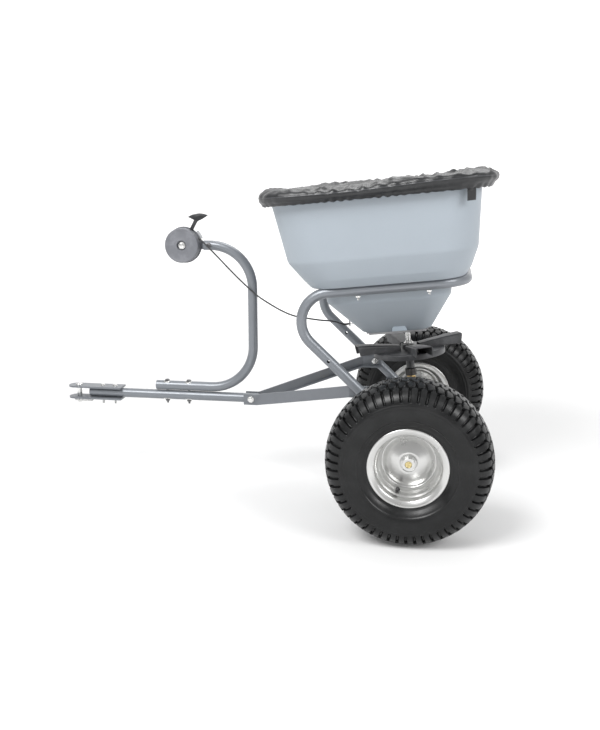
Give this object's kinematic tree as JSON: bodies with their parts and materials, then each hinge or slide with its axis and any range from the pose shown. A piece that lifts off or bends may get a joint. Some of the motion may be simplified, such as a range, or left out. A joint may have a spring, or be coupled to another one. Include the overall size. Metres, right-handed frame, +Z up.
{
  "type": "tow-behind broadcast spreader",
  "caption": "Tow-behind garden spreader: tube frame and drawbar, pneumatic wheels, geared spinner under a plastic hopper with a rain cover, remote gate lever.",
  "frame": {"origin": "on the ground, at the middle of the outline seen from above", "axes": "+X towards the rear with the hitch at -X, +Y to the far side, +Z up; the drawbar is level"},
  "size_m": [1.1506, 0.8392, 0.8351],
  "materials": {
    "frame_paint": "satin grey enamel with a fine metallic flake",
    "zinc_plate": "bright zinc plating",
    "yellow_zinc": "yellow zinc plating",
    "rim_silver": "bright silver paint",
    "tyre_rubber": "dull black rubber",
    "hopper_poly": "satin blue-grey moulded polyethylene",
    "cover_nylon": "coated charcoal nylon with a gathered elastic hem",
    "black_plastic": "black moulded plastic",
    "grey_plastic": "dark grey moulded plastic",
    "brass_bush": "plain turned brass",
    "gear_steel": "dull machined steel"
  },
  "bodies": {
    "chassis": {"frame_tube": "frame_paint", "brace_near": "frame_paint", "brace_far": "frame_paint", "cross_strap": "frame_paint", "tongue_tube": "frame_paint", "hitch_strap_top": "frame_paint", "hitch_strap_bottom": "frame_paint", "control_arm": "frame_paint", "head_bracket": "frame_paint", "gearbox_bolt": "zinc_plate", "brace_bolt_near": "zinc_plate", "brace_bolt_far": "zinc_plate", "tongue_brace_bolt": "zinc_plate", "hitch_bolt_front": "zinc_plate", "hitch_bolt_rear": "zinc_plate", "hitch_pin": "zinc_plate", "hairpin": "zinc_plate", "arm_bolt_front": "zinc_plate", "arm_bolt_rear": "zinc_plate", "bracket_bolt": "zinc_plate", "pivot_bolt": "zinc_plate", "hopper_bolt_front_near": "zinc_plate", "hopper_bolt_front_far": "zinc_plate", "hopper_bolt_rear_near": "zinc_plate", "hopper_bolt_rear_far": "zinc_plate", "gate_guide_near": "zinc_plate", "gate_guide_far": "zinc_plate", "cable_bracket": "zinc_plate", "hopper": "hopper_poly", "axle_bearing_near": "black_plastic", "axle_bearing_far": "black_plastic", "control_cable": "black_plastic", "gearbox_front": "black_plastic", "gearbox_rear": "black_plastic", "dial_plate": "grey_plastic", "control_housing": "grey_plastic", "shaft_bush": "brass_bush"},
    "drive_axle": {"axle": "yellow_zinc", "drive_gear": "gear_steel", "tyre_near": "tyre_rubber", "rim_near": "rim_silver", "hub_near": "rim_silver", "drive_pin": "zinc_plate", "wheel_spacer_near": "zinc_plate", "wheel_spacer_far": "zinc_plate", "keeper_washer": "zinc_plate", "keeper_pin": "zinc_plate"},
    "free_wheel": {"tyre_far": "tyre_rubber", "rim_far": "rim_silver", "hub_far": "rim_silver"},
    "spinner": {"spinner_shaft": "zinc_plate", "pinion_gear": "gear_steel", "shaft_collar": "black_plastic", "impeller": "black_plastic", "agitator": "zinc_plate"},
    "lever": {"control_lever": "black_plastic"},
    "gate": {"gate_plate": "zinc_plate"},
    "cover": {"rain_cover": "cover_nylon"}
  },
  "joints": [
    {"name": "axle_spin", "type": "hinge", "parent": "chassis", "child": "drive_axle", "pos_m": [0.38475, 0, 0.1905], "axis": [0, 1, 0], "continuous": true},
    {"name": "free_wheel_spin", "type": "hinge", "parent": "chassis", "child": "free_wheel", "pos_m": [0.38475, 0.346, 0.1905], "axis": [0, 1, 0], "continuous": true},
    {"name": "spinner_spin", "type": "hinge", "parent": "chassis", "child": "spinner", "pos_m": [0.38475, 0, 0.1905], "axis": [-0.1045, 0, 0.9945], "continuous": true},
    {"name": "lever_turn", "type": "hinge", "parent": "chassis", "child": "lever", "pos_m": [-0.23075, 0, 0.64], "axis": [0, 1, 0], "range_deg": [-60, 0]},
    {"name": "gate_slide", "type": "slide", "parent": "chassis", "child": "gate", "axis": [-0.9945, 0, -0.1045], "range_m": [0, 0.042]},
    {"name": "cover_lift", "type": "slide", "parent": "chassis", "child": "cover", "axis": [-0.1045, 0, 0.9945], "range_m": [0, 0.15]}
  ],
  "couplings": [
    {"joint": "spinner_spin", "follows": "axle_spin", "ratio": -3},
    {"joint": "gate_slide", "follows": "lever_turn", "m_per_rad": -0.0401}
  ]
}
